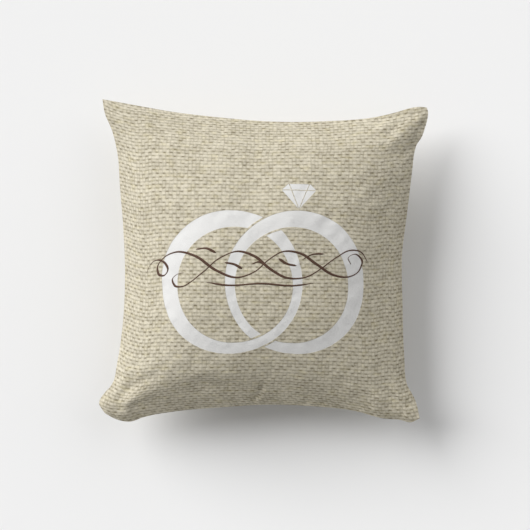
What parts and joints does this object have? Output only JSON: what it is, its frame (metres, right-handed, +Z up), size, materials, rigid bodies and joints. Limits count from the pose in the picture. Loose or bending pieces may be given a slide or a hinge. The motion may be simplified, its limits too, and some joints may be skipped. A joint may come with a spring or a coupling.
{
  "type": "throw pillow",
  "caption": "Square knife-edged throw pillow: a burlap-print cover with a closing zip in one seam, round a sewn insert stuffed with fibre.",
  "frame": {"origin": "under the middle of the pillow, on the surface its back lies on", "axes": "+Z up, out of the printed face; +Y towards the top edge of the print; +X towards the print's right; the zip is in the seam at -Y"},
  "size_m": [0.392, 0.392, 0.1401],
  "materials": {
    "burlap_print": "matte printed cloth",
    "thread": "matte thread",
    "label_satin": "satin",
    "zipper_tape": "woven tape",
    "zipper_coil": "moulded nylon",
    "zipper_metal": "plated die casting",
    "insert_lining": "plain white cloth",
    "insert_thread": "matte thread",
    "polyester_fibre": "loose fibre"
  },
  "bodies": {
    "pillow": {"cover_front_panel": "burlap_print", "cover_back_panel": "burlap_print", "cover_seam_needle_thread": "thread", "cover_seam_bobbin_thread": "thread", "cover_overlock_thread": "thread", "care_label": "label_satin", "zipper_tape_front": "zipper_tape", "zipper_tape_back": "zipper_tape", "zipper_coil_front": "zipper_coil", "zipper_coil_back": "zipper_coil", "zipper_stitching_front": "thread", "zipper_stitching_back": "thread", "zipper_top_stop_front": "zipper_metal", "zipper_top_stop_back": "zipper_metal", "zipper_bottom_stop": "zipper_metal", "insert_front_panel": "insert_lining", "insert_back_panel": "insert_lining", "insert_seam_thread": "insert_thread", "insert_closing_thread": "insert_thread", "fibre_fill": "polyester_fibre"},
    "slider": {"zipper_slider_body": "zipper_metal"},
    "pull_tab": {"zipper_pull_tab": "zipper_metal"}
  },
  "joints": [
    {"name": "slider_run", "type": "hinge", "parent": "pillow", "child": "slider", "pos_m": [0, -0.968, 0.065], "axis": [0, 0, 1], "range_deg": [0, 18.22]},
    {"name": "tab_swing", "type": "hinge", "parent": "slider", "child": "pull_tab", "pos_m": [0.12692, -0.17651, 0.065], "axis": [0, 0, 1], "range_deg": [0, 170]}
  ]
}
